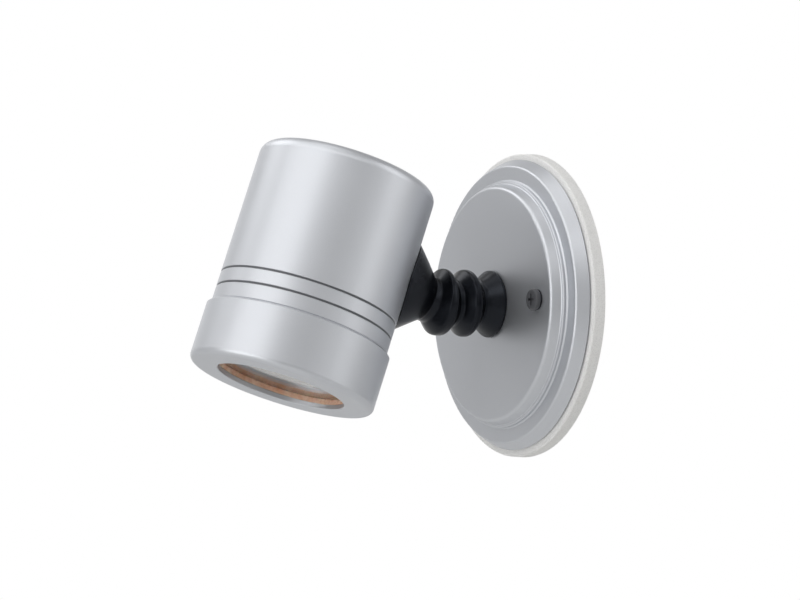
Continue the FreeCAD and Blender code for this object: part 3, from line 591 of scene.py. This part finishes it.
@dataclass(frozen=True)
class Axis:
    """Line that a piece is turned about, with two directions square to it."""

    origin: Triple
    along: Triple
    side: Triple
    up: Triple

    def points(self, distance: np.ndarray, radius: np.ndarray, angle: np.ndarray) -> np.ndarray:
        """Points at these cylindrical coordinates: origin + distance along + radius (sin side + cos up).

        Args:
            distance: Distance along the axis.
            radius: Distance from the axis.
            angle: Angle about it, from up towards side.

        Returns:
            The points, with a last axis of 3.
        """
        across = np.sin(angle)[..., None] * np.array(self.side) + np.cos(angle)[..., None] * np.array(self.up)
        return np.array(self.origin) + distance[..., None] * np.array(self.along) + radius[..., None] * across

    def turned(self, name: str, outline: np.ndarray, columns: int) -> bpy.types.Object:
        """Closed outline of (distance, radius) points turned right round the axis.

        Args:
            name: Name of the piece.
            outline: Points of the section.
            columns: Steps round the axis.

        Returns:
            The piece.
        """
        return skin(name, self.points(*round_grid(outline, columns)))

    def thread(
        self, name: str, start: float, end: float, radius: float, pitch: float, depth: float
    ) -> bpy.types.Object:
        """Ridge of a screw thread.

        Its middle line is a helix, distance = start + pitch * angle / (2 pi), and its section is a triangle
        from a root just under the shank's surface to the crest. The section fades to nothing over the first
        and the last half turn.

        Args:
            name: Name of the piece.
            start: Distance of its first turn.
            end: Distance of its last turn.
            radius: Radius of the shank.
            pitch: Distance from turn to turn.
            depth: Height of the ridge.

        Returns:
            The piece.
        """
        half_width, root, steps_a_turn = 0.46 * pitch, 0.25 * depth, 24
        turns = abs(end - start) / pitch
        steps = np.linspace(0, 1, int(turns * steps_a_turn))[:, None]
        angle = steps * turns * 2 * math.pi
        fade = np.clip(np.minimum(steps, 1 - steps) * turns * 2, 0, 1)
        offset = np.array([-half_width, 0.0, half_width])[None, :]
        height = np.array([-root, depth, -root])[None, :]
        distance = start + (end - start) * steps + offset * fade
        out = radius - root * (1 - fade) + height * fade
        return skin(name, self.points(distance, out, angle + 0 * out), wrap_rows=False, smooth=False)


def outward_axis(x: float = 0.0, out: float = 0.0) -> Axis:
    """Axis straight out from the wall, from a point this far along the wall and this far out of it."""
    return Axis((x, -out, 0), (0, -1, 0), (1, 0, 0), (0, 0, 1))


def smoothstep(value: np.ndarray) -> np.ndarray:
    """0 below 0, 1 above 1, and 3 v^2 - 2 v^3 between."""
    share = np.clip(value, 0, 1)
    return share * share * (3 - 2 * share)


def ripple(angle: np.ndarray, waves: Sequence[tuple[int, float, float]]) -> np.ndarray:
    """Sum of sines round a circle, each given by its count, height and phase."""
    return sum(height * np.sin(count * angle + phase) for count, height, phase in waves)


# ------------------------------------------------------------------------------------------------ the layout
@dataclass(frozen=True)
class Layout:
    """Lines and sizes that the sub-assemblies share, read from the solids where those give them."""

    disc_out: float
    gasket_r: float
    gasket_t: float
    head_r: float
    pivot_out: float
    tilt: float
    arm_length: float = 57.9 * MM

    @classmethod
    def read(cls) -> "Layout":
        """Reads the layout from the solids' boxes and the joints."""
        joints = {joint["name"]: joint for joint in frame["joints"]}
        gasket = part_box("wall_gasket")
        fore = joints["lens_travel"]["axis"]
        return cls(
            disc_out=-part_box("back_plate")[0].y,
            gasket_r=gasket[1].x,
            gasket_t=-gasket[0].y,
            head_r=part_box("head_housing")[1].x,
            pivot_out=-joints["head_tilt"]["pos_m"][1],
            tilt=math.atan2(-fore[1], -fore[2]),
        )

    @property
    def arm(self) -> Triple:
        """Direction of the arm at rest."""
        return (0, -math.cos(self.tilt), math.sin(self.tilt))

    @property
    def fore(self) -> Triple:
        """Direction that the lens faces at rest."""
        return (0, -math.sin(self.tilt), -math.cos(self.tilt))

    @property
    def arm_axis(self) -> Axis:
        """Axis of the arm, from the tilt pivot to the head."""
        up = (0, math.sin(self.tilt), math.cos(self.tilt))
        return Axis((0, -self.pivot_out, 0), self.arm, (1, 0, 0), up)

    @property
    def head_axis(self) -> Axis:
        """Axis of the head, from the arm's axis towards the lens."""
        centre = Vector((0, -self.pivot_out, 0)) + Vector(self.arm) * self.arm_length
        return Axis(tuple(centre), self.fore, (1, 0, 0), self.arm)


def dress(finish: Finishes, slot: str, *nodes: str) -> None:
    """Gives solids a finish.

    Args:
        finish: The finish.
        slot: The record's material slot that it stands for. Not used.
        nodes: Names of the solids.
    """
    for name in nodes:
        node = frame["nodes"][name]
        if not node.material_slots:
            node.data.materials.append(finish.value.material())
        for place in node.material_slots:
            place.material = finish.value.material()
        LOG.info("%s dressed in %s", name, finish.value.name)


def finished(piece: bpy.types.Object, finish: Finishes, body: str = "") -> bpy.types.Object:
    """Gives a new piece its finish and the body that it rides on.

    Args:
        piece: The piece.
        finish: Its finish.
        body: The body, or nothing for a piece that rides on none.

    Returns:
        The piece.
    """
    piece.data.materials.append(finish.value.material())
    if body:
        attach(piece, body)
    LOG.info("%s made, %d faces", piece.name, len(piece.data.polygons))
    return piece


# --------------------------------------------------------------------------------------------- sub-assemblies
@dataclass
class WallPlate:
    """Foam gasket, painted plate, straps, screws and their seals."""

    layout: Layout
    gasket_width: float = 9.0 * MM
    gasket_round: float = 0.7 * MM
    gasket_sag: float = 0.5 * MM
    gasket_swell: float = 0.2 * MM
    gasket_ripple: float = 0.6 * MM
    gasket_fill: float = 1.0
    gasket_step: float = 1.2 * MM
    gasket_columns: int = 256
    screw_spacing: float = 78.8 * MM
    screw_r: float = 2.0 * MM
    screw_slack: float = 0.2 * MM
    screw_pitch: float = 0.79 * MM
    screw_ridge: float = 0.16 * MM
    screw_ends: tuple[float, float] = (1.6 * MM, 14.0 * MM)
    seal_r: float = 4.6 * MM
    seal_t: float = 0.6 * MM
    seal_swell: float = 0.05 * MM

    def gasket(self) -> None:
        """Ring of foam, its outer edge bulged a little where the plate presses it.

        The section is a rectangle with rounded corners, a little wider at the wall. Its radius gains a slow
        ripple round the ring, and a sag of (1 - cos angle) / 2 that is greatest at the bottom. Both fade to
        nothing at the inner edge, with the cube of the share of the ring's width.
        """
        outer, inner = self.layout.gasket_r, self.layout.gasket_r - self.gasket_width
        thick = self.layout.gasket_t
        corners = [
            (0.0, inner, 0.4 * MM),
            (0.0, outer + self.gasket_swell, 0.25 * MM),
            (thick, outer, self.gasket_round),
            (thick, inner, 0.4 * MM),
        ]
        outline = divided(rounded(corners, arc_points=8), self.gasket_step)
        distance, radius, angle = round_grid(outline, self.gasket_columns)
        share = np.clip((radius - inner) / (outer - inner), 0, 1) ** 3
        waves = [(3, 0.10, 0.4), (7, 0.06, 2.1), (13, 0.03, 4.0)]
        sag = self.gasket_sag * (1 - np.cos(angle)) / 2
        radius = radius + share * (ripple(angle, waves) * self.gasket_ripple + sag)
        piece = skin("foam_gasket", outward_axis().points(distance, radius, angle))
        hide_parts("wall_gasket")
        finished(piece, Finishes.FOAM, "wall_plate")

    def screw_seal(self, x: float, name: str) -> bpy.types.Object:
        """Rubber washer under one screw's head, squeezed out a little."""
        bore_r = self.screw_r + self.screw_slack
        corners = [
            (0.0, bore_r, 0.1 * MM),
            (0.0, self.seal_r, 0.15 * MM),
            (self.seal_t, self.seal_r + self.seal_swell, 0.25 * MM),
            (self.seal_t, bore_r, 0.1 * MM),
        ]
        piece = outward_axis(x, self.layout.disc_out).turned(name, rounded(corners), columns=64)
        return finished(piece, Finishes.RUBBER, "wall_plate")

    def screws(self) -> None:
        """Seals under the plate screws' heads, and the threads on their shanks."""
        for side, x in (("left", -self.screw_spacing / 2), ("right", self.screw_spacing / 2)):
            seal = self.screw_seal(x, f"screw_seal_{side}")
            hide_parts("screw_seals")
            shape = (*self.screw_ends, self.screw_r, self.screw_pitch, self.screw_ridge)
            ridge = outward_axis(x).thread(f"screw_thread_{side}", *shape)
            finished(ridge, Finishes.DARK, "wall_plate")

    def build(self) -> None:
        """Makes and dresses the whole plate."""
        dress(Finishes.PAINT, "silver_paint", "back_plate")
        dress(Finishes.ZINC, "zinc_steel", "fixture_strap", "strap_rivet")
        dress(Finishes.ZINC_UPRIGHT, "zinc_steel", "box_strap")
        dress(Finishes.EARTH, "earth_screw", "ground_screw")
        dress(Finishes.DARK, "dark_steel", "plate_screws")
        dress(Finishes.NYLON, "nylon", "swivel_bush")
        self.gasket()
        self.screws()


@dataclass
class SwivelArm:
    """Stem, stop, spring, nut and knuckle, under the rubber boot."""

    layout: Layout
    seat_gap: float = 0.2 * MM
    seat_bore_r: float = 9.2 * MM
    stem_r: float = 5.0 * MM
    stem_pitch: float = 1.0 * MM
    stem_ridge: float = 0.18 * MM
    stem_chamfer: float = 0.4 * MM
    base_r: float = 14.6 * MM
    base_t: float = 2.4 * MM
    neck_r: float = 10.0 * MM
    wall: float = 1.4 * MM
    ring_r: float = 14.6 * MM
    ring_foot: float = 5.0 * MM
    ring_crest: float = 1.3 * MM
    ring_round: float = 1.7 * MM
    rings_before_pivot: tuple[float, float] = (14.5 * MM, 2.5 * MM)
    cone_start: float = 5.4 * MM
    cone_start_r: float = 10.0 * MM
    cone_rim_r: float = 21.4 * MM
    skirt_flare: float = 0.1
    bend: float = 8.0 * MM
    bend_ends: tuple[float, float] = (8.0 * MM, 9.0 * MM)
    head_gap: float = 0.25 * MM
    step: float = 0.7 * MM
    columns: int = 192
    rounds_of_trim: int = 12
    widest_trim: float = 0.9
    line_points: int = 4001

    def outer_corners(self) -> list[Corner]:
        """Corners of the boot's outer skin, from the plate to the rim."""
        seat = self.layout.disc_out + self.seat_gap
        pivot = self.layout.pivot_out
        corners = [
            (seat, self.base_r, 0.25 * MM),
            (seat + self.base_t * 0.45, self.base_r, 0.7 * MM),
            (seat + self.base_t + 0.6 * MM, self.base_r - 1.6 * MM, 3.0 * MM),
            (seat + 6.4 * MM, self.neck_r + 0.1 * MM, 2.2 * MM),
        ]
        for before in self.rings_before_pivot:
            middle = pivot - before
            corners += [
                (middle - self.ring_foot, self.neck_r, 1.0 * MM),
                (middle - self.ring_crest, self.ring_r, self.ring_round),
                (middle + self.ring_crest, self.ring_r, self.ring_round),
                (middle + self.ring_foot, self.neck_r, 1.0 * MM),
            ]
        corners += [
            (pivot + self.cone_start, self.cone_start_r, 1.5 * MM),
            (self.rim_at, self.cone_rim_r, 0.45 * MM),
        ]
        return corners

    @property
    def rim_at(self) -> float:
        """Distance of the cone's rim at its top and bottom, where the head's side is nearest."""
        return self.layout.pivot_out + self.layout.arm_length - self.layout.head_r - self.head_gap

    def section(self) -> np.ndarray:
        """Closed section through the boot's wall: the outer skin, and back along the inner one.

        The inner skin is the outer one less the wall, and each ring's two inner crest corners stand half a
        wall nearer to its middle.
        """
        outer = self.outer_corners()
        wall = self.wall
        inner = [(distance, radius - wall, fillet) for distance, radius, fillet in outer[4:-2]]
        for i, (distance, radius, _) in enumerate(inner):
            if radius > self.neck_r:
                shift = -0.5 * wall if i % 4 == 2 else 0.5 * wall
                inner[i] = (distance + shift, radius, 0.5 * MM)
        seat = self.layout.disc_out + self.seat_gap
        back = [
            (self.rim_at, self.cone_rim_r - wall, 0.45 * MM),
            (outer[-2][0], self.cone_start_r - wall, 1.0 * MM),
            *reversed(inner),
            (seat + 5.4 * MM, self.neck_r - wall, 1.0 * MM),
            (seat + 2.2 * MM, self.seat_bore_r, 0.3 * MM),
            (seat, self.seat_bore_r, 0.2 * MM),
        ]
        return divided(rounded(outer + back, arc_points=7), self.step)

    def bent(self, distance: np.ndarray, radius: np.ndarray, angle: np.ndarray) -> np.ndarray:
        """Points round the boot's bent middle line.

        The line's slope rises as a smooth step about the pivot, from level to the rest tilt, and its points
        are the running sum of that direction. A ring of the boot is square to the line.

        Args:
            distance: Distance along the line from the wall.
            radius: Distance from the line.
            angle: Angle about it, from up towards +X.

        Returns:
            The points.
        """
        pivot = self.layout.pivot_out
        along = np.linspace(0, 2 * pivot, self.line_points)
        slope = self.layout.tilt * smoothstep((along - pivot + self.bend) / (2 * self.bend))
        step = along[1] - along[0]
        out = np.concatenate([[0], np.cumsum(np.cos(slope[:-1]) * step)])
        rise = np.concatenate([[0], np.cumsum(np.sin(slope[:-1]) * step)])
        lean = np.interp(distance, along, slope)
        across = np.sin(angle) * radius
        upward = np.cos(angle) * radius
        y = -np.interp(distance, along, out) + upward * np.sin(lean)
        z = np.interp(distance, along, rise) + upward * np.cos(lean)
        return np.stack([across, y, z], axis=-1)

    def boot(self) -> None:
        """Ribbed boot whose cone ends in a skirt that saddles the head's round side.

        Past the start of the cone, each point's distance is stretched by (limit - start) / (rim - start),
        and its radius gains the skirt's slope times that stretch. The limit is where its own line meets the
        head, at arm end - sqrt(head radius^2 - x^2). The two depend on each other, so they are worked out
        in turn.
        """
        distance, radius, angle = round_grid(self.section(), self.columns)
        start = self.layout.pivot_out + self.cone_start
        past = np.maximum(distance - start, 0)
        head_end = self.layout.pivot_out + self.layout.arm_length
        reach = self.layout.head_r + self.head_gap
        stretched, wide = distance, radius
        for _ in range(self.rounds_of_trim):
            beside = np.minimum(np.abs(wide * np.sin(angle)), self.widest_trim * reach)
            limit = head_end - np.sqrt(reach**2 - beside**2)
            stretched = np.where(past > 0, start + past * (limit - start) / (self.rim_at - start), distance)
            wide = radius + (stretched - distance) * self.skirt_flare
        piece = skin("ribbed_boot", self.bent(stretched, wide, angle))
        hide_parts("rubber_boot")
        finished(piece, Finishes.RUBBER)
        pivot = Vector((0, -self.layout.pivot_out, 0))
        bend_end = pivot + Vector(self.layout.arm) * self.bend_ends[1]
        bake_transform(piece)

    def build(self) -> None:
        """Makes and dresses the whole arm."""
        dress(Finishes.TURNED, "stem_metal", "swivel_stem")
        dress(Finishes.ZINC, "zinc_steel", "stop_washer", "friction_spring", "stem_nut")
        dress(Finishes.DARK, "dark_steel", "knuckle_bolt", "knuckle_nut")
        dress(Finishes.FIBRE, "fibre", "friction_discs")
        stem_end = -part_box("swivel_stem")[1].y
        ends = (stem_end + self.stem_chamfer, -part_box("stem_nut")[0].y)
        thread = outward_axis().thread("stem_thread", *ends, self.stem_r, self.stem_pitch, self.stem_ridge)
        finished(thread, Finishes.TURNED, "swivel")
        self.boot()


@dataclass
class SpotHead:
    """Painted head, its half of the knuckle, the lamp and its holder."""

    layout: Layout
    seal_r: float = 8.7 * MM
    seal_bore_r: float = 5.2 * MM
    seal_t: float = 1.0 * MM
    ring_middle_r: float = 35.7 * MM
    ring_r: float = 0.88 * MM
    ring_fore: float = 38.0 * MM
    waist_fore: float = 18.7 * MM
    waist_r: float = 9.0 * MM
    bell_fore: float = 44.9 * MM
    bell_gain: float = 13.0 * MM
    facet_rows: int = 9
    facet_columns: int = 36
    groove_fore: tuple[float, float] = (20.9 * MM, 27.6 * MM)
    groove_half: float = 0.6 * MM
    groove_depth: float = 0.9 * MM
    groove_reach: float = 1.2

    def arm_seal(self) -> None:
        """Flat rubber seal between the arm's flange and the head, its edge rounded by the squeeze."""
        arm = self.layout.arm_axis
        low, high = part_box("arm_seal")
        start = ((low + high) / 2 - Vector(arm.origin)).dot(Vector(arm.along)) - self.seal_t / 2
        corners = [
            (start, self.seal_bore_r, 0.1 * MM),
            (start, self.seal_r, 0.3 * MM),
            (start + self.seal_t, self.seal_r, 0.3 * MM),
            (start + self.seal_t, self.seal_bore_r, 0.1 * MM),
        ]
        piece = arm.turned("arm_joint_seal", rounded(corners), columns=96)
        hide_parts("arm_seal")
        finished(piece, Finishes.RUBBER, "head")

    def o_ring(self) -> None:
        """Round-section seal in the neck's groove. The section is a circle turned round the head's axis."""
        turn = np.linspace(0, 2 * math.pi, 20, endpoint=False)
        circle = np.stack([np.cos(turn), np.sin(turn)], axis=-1)
        outline = np.array([self.ring_fore, self.ring_middle_r]) + self.ring_r * circle
        piece = self.layout.head_axis.turned("neck_o_ring", outline, columns=160)
        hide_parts("body_o_ring")
        finished(piece, Finishes.RUBBER, "head")

    def facets(self) -> None:
        """Facets pressed into the lamp's bell.

        The bell's radius grows with the square root of the distance from the waist, and each row of facets is
        turned by half a facet from the one before.
        """
        share = np.linspace(0.0, 1.0, self.facet_rows)[:, None]
        angle = np.linspace(0, 2 * math.pi, self.facet_columns, endpoint=False)[None, :]
        angle = angle + (np.arange(self.facet_rows) % 2)[:, None] * math.pi / self.facet_columns
        distance = self.waist_fore + (self.bell_fore - self.waist_fore) * share
        radius = self.waist_r + self.bell_gain * np.sqrt(share)
        points = self.layout.head_axis.points(distance + 0 * angle, radius + 0 * angle, angle)
        piece = skin("reflector_facets", points, wrap_rows=False, smooth=False)
        finished(piece, Finishes.BRIGHT, "head")

    def groove_layer(self) -> None:
        """Writes how deep each point of the housing lies in the grooves round it, as a share of their depth.

        A point belongs to a groove if it is near the groove's middle along the axis, and not so far below the
        head's side as the points of the bore.
        """
        mesh = frame["nodes"]["head_housing"].data
        places = np.empty(len(mesh.vertices) * 3)
        mesh.vertices.foreach_get("co", places)
        places = places.reshape(-1, 3) - np.array(self.layout.head_axis.origin)
        along = np.array(self.layout.fore)
        fore = places @ along
        sunk = self.layout.head_r - np.linalg.norm(places - fore[:, None] * along, axis=1)
        beside = np.min(np.abs(fore[:, None] - np.array(self.groove_fore)), axis=1)
        inside = (beside < self.groove_half) & (sunk < self.groove_reach * self.groove_depth)
        depth = np.clip(sunk / self.groove_depth, 0.0, 1.0) * inside
        # the paint darkens by this share: painted shade at the bottom of the grooves
        mesh.attributes.new(GROOVE_LAYER, "FLOAT", "POINT").data.foreach_set("value", depth)
        LOG.info("groove layer of %d points", int(inside.sum()))

    def build(self) -> None:
        """Makes and dresses the whole head."""
        dress(Finishes.PAINT, "silver_paint", "head_housing")
        self.groove_layer()
        dress(Finishes.TURNED, "stem_metal", "knuckle_tongue")
        dress(Finishes.ZINC, "zinc_steel", "head_nut", "holder_bracket", "bracket_screws")
        dress(Finishes.BRIGHT, "lamp_shell", "lamp_reflector")
        dress(Finishes.LAMP_GLASS, "lamp_glass", "lamp_cover")
        dress(Finishes.CERAMIC, "ceramic", "lamp_base", "lampholder")
        dress(Finishes.BRASS, "brass", "lamp_pins")
        self.arm_seal()
        self.o_ring()
        self.facets()


@dataclass
class LensPack:
    """Glass, its amber seal and the bezel that holds them."""

    layout: Layout
    aperture_r: float = 28.0 * MM
    glass_r: float = 32.4 * MM
    seal_r: float = 34.2 * MM
    seal_front: float = 58.1 * MM
    glass_front: float = 56.1 * MM
    glass_rear: float = 52.1 * MM
    seal_rear: float = 51.1 * MM
    squeeze: float = 0.45 * MM
    lip: float = 0.10 * MM
    step: float = 0.5 * MM
    columns: int = 360
    skirt_r: float = 28.4 * MM
    skirt_t: float = 1.5 * MM
    skirt_length: float = 2.6 * MM

    def seal(self) -> None:
        """Channel of silicone round the glass, whose front edge is squeezed unevenly over the bezel's lip.

        The section is a C round the glass's rim, with a skirt behind the glass. Near the front its distance
        gains a ripple round the ring, and its inner radius another, so the visible edge wanders as hand-laid
        silicone does.
        """
        inner = self.aperture_r
        skirt_outer = self.skirt_r + self.skirt_t
        corners = [
            (self.glass_rear - self.skirt_length, self.skirt_r, 0.4 * MM),
            (self.glass_rear - self.skirt_length, skirt_outer, 0.3 * MM),
            (self.seal_rear, skirt_outer, 0.2 * MM),
            (self.seal_rear, self.seal_r, 0.3 * MM),
            (self.seal_front, self.seal_r, 0.2 * MM),
            (self.seal_front, inner + 0.02 * MM, 0.0),
            (self.seal_front, inner - self.lip, 0.05 * MM),
            (self.glass_front, inner - self.lip, 0.1 * MM),
            (self.glass_front, self.glass_r, 0.0),
            (self.glass_rear, self.glass_r, 0.0),
            (self.glass_rear, self.skirt_r, 0.1 * MM),
        ]
        distance, radius, angle = round_grid(divided(rounded(corners, arc_points=5), self.step), self.columns)
        bore = radius < inner
        front = bore * smoothstep((distance - self.glass_front) / (self.seal_front - self.glass_front))
        waves = [(2, 0.35, 0.6), (5, 0.3, 2.2), (11, 0.2, 1.0), (23, 0.12, 3.0), (41, 0.07, 5.0)]
        distance = distance + front * (ripple(angle, waves) * 0.5 + 0.35) * self.squeeze
        waver = np.clip(ripple(angle, [(9, 0.03, 1.5), (17, 0.02, 4.1)]), -0.02, 0.05)
        radius = radius - bore * waver * MM
        piece = skin("lens_seal", self.layout.head_axis.points(distance, radius, angle))
        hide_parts("lens_gasket")
        finished(piece, Finishes.SILICONE, "lens_pack")

    def build(self) -> None:
        """Makes and dresses the lens pack and the bezel."""
        dress(Finishes.GLASS, "clear_glass", "lens_glass")
        dress(Finishes.PAINT, "silver_paint", "front_bezel")
        self.seal()


# ------------------------------------------------------------------------------------------------ the studio
def heading(azimuth: float, elevation: float) -> Vector:
    """Unit vector from the object towards a point at this azimuth and elevation, in degrees.

    Args:
        azimuth: 0 is straight out from the wall, and 90 is towards +X.
        elevation: Angle above the horizon.

    Returns:
        The vector.
    """
    a, e = math.radians(azimuth), math.radians(elevation)
    return Vector((math.sin(a) * math.cos(e), -math.cos(a) * math.cos(e), math.sin(e)))


@dataclass(frozen=True)
class Softbox:
    """Rectangular soft light that faces the object."""

    name: str
    azimuth: float
    elevation: float
    distance: float
    width: float
    height: float
    radiance: float

    def hang(self, target: Vector) -> None:
        """Places the light. Its power is radiance times pi times its area."""
        light = bpy.data.lights.new(self.name, "AREA")
        light.shape = "RECTANGLE"
        light.size, light.size_y = self.width, self.height
        light.energy = self.radiance * math.pi * self.width * self.height
        lamp = bpy.data.objects.new(self.name, light)
        back = heading(self.azimuth, self.elevation)
        turn = back.to_track_quat("Z", "Y").to_matrix().to_4x4()
        lamp.matrix_world = Matrix.Translation(target + back * self.distance) @ turn
        lamp.visible_camera = False
        bpy.context.scene.collection.objects.link(lamp)


@dataclass
class Studio:
    """Camera, world, floor and lights."""

    azimuth: float = 61.24
    elevation: float = -3.33
    distance: float = 1.7
    focal_px: float = 3881.0
    frame_px: float = 800.0
    origin_px: tuple[float, float] = (125.8, -5.23)
    sensor_mm: float = 36.0
    clip: tuple[float, float] = (0.05, 20.0)
    floor_z: float = -0.34
    floor_r: float = 1.8
    floor_colour: Colour = (0.82, 0.82, 0.81)
    floor_roughness: float = 0.8
    floor_shares: tuple[float, float] = (0.6, 0.35)
    floor_grid: tuple[int, int] = (12, 96)
    fill: float = 0.2
    room: float = 0.42
    backdrop_cosines: tuple[float, float] = (0.7, 0.95)
    target: Vector = Vector((0, -0.07, 0))
    boxes: tuple[Softbox, ...] = (
        Softbox("front_box", 8.0, 5.0, 1.4, 1.35, 0.75, 1.85),
        Softbox("upper_box", 8.0, 42.0, 1.4, 1.35, 0.75, 1.18),
        Softbox("left_box", -57.0, 42.0, 1.4, 0.8, 0.75, 1.9),
        Softbox("low_left_box", -60.0, 5.0, 1.4, 1.8, 0.75, 0.18),
        Softbox("near_box", 60.0, 42.0, 1.4, 1.3, 0.75, 0.8),
        Softbox("side_box", 108.0, 22.0, 1.4, 0.9, 1.3, 0.28),
        Softbox("rear_box", 137.0, 22.0, 1.4, 0.8, 1.3, 1.22),
        Softbox("top_box", 0.0, 80.0, 1.3, 0.9, 0.9, 0.9),
    )

    def camera(self) -> None:
        """Places the camera so that the frame's origin falls this many pixels right and up of the middle."""
        back = heading(self.azimuth, self.elevation)
        right = heading(self.azimuth + 90.0, 0.0)
        up = back.cross(right)
        metres = self.distance / self.focal_px
        place = back * self.distance - right * self.origin_px[0] * metres - up * self.origin_px[1] * metres
        data = bpy.data.cameras.new("camera")
        data.sensor_width = self.sensor_mm
        data.lens = self.focal_px / self.frame_px * self.sensor_mm
        data.clip_start, data.clip_end = self.clip
        camera = bpy.data.objects.new("camera", data)
        camera.matrix_world = Matrix.Translation(place) @ Matrix((right, up, back)).transposed().to_4x4()
        bpy.context.scene.collection.objects.link(camera)
        bpy.context.scene.camera = camera

    def world(self) -> None:
        """White backdrop behind the object, a greyer room in front of it, and an even fill.

        Camera rays see white all round. Rays off metal and through glass see the backdrop's white where
        they run within about 30 degrees of the way that the camera looks, and the room elsewhere. The
        room's share comes from a smooth step of the cosine between the two.
        """
        world = bpy.data.worlds.new("studio")
        bpy.context.scene.world = world
        world.use_nodes = True
        graph = Graph(world.node_tree)
        mirrored = graph.mirrored_ray()
        direction = graph.add("ShaderNodeTexCoord", {}, {}, "Object")
        sockets = {0: direction, 1: tuple(-heading(self.azimuth, self.elevation))}
        cosine = graph.add("ShaderNodeVectorMath", {"operation": "DOT_PRODUCT"}, sockets, "Value")
        seen = cosine.band(*self.backdrop_cosines) * (1.0 - self.room) + self.room
        strength = graph.ray("Camera").larger(mirrored * seen).larger((1.0 - mirrored) * self.fill)
        light = graph.add("ShaderNodeBackground", {}, {"Color": (1.0, 1.0, 1.0, 1.0), "Strength": strength})
        graph.end("ShaderNodeOutputWorld", light)

    def floor(self) -> None:
        """Round pale floor below the light: a grid of radius by angle, whose middle closes to a point."""
        rows, columns = self.floor_grid
        radius = np.linspace(0, self.floor_r, rows)
        upright = Axis((0, 0, self.floor_z), (0, 0, 1), (1, 0, 0), (0, 1, 0))
        grid = round_grid(np.stack([0 * radius, radius], axis=-1), columns)
        piece = skin("floor", upright.points(*grid), wrap_rows=False)
        finish = PaleFloor("pale_floor", self.floor_colour, self.floor_roughness, *self.floor_shares)
        piece.data.materials.append(finish.material())

    def build(self) -> None:
        """Makes the studio."""
        bpy.context.scene.view_settings.view_transform = "Standard"
        self.camera()
        self.world()
        self.floor()
        for box in self.boxes:
            box.hang(self.target)


def main() -> None:
    """Builds the studio and the light."""
    logging.basicConfig(level=logging.INFO, format="%(name)s: %(message)s")
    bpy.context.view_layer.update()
    Studio().build()
    layout = Layout.read()
    for part in (WallPlate(layout), SwivelArm(layout), SpotHead(layout), LensPack(layout)):
        part.build()
        LOG.info("%s built", type(part).__name__)


if __name__ == "__main__":
    main()
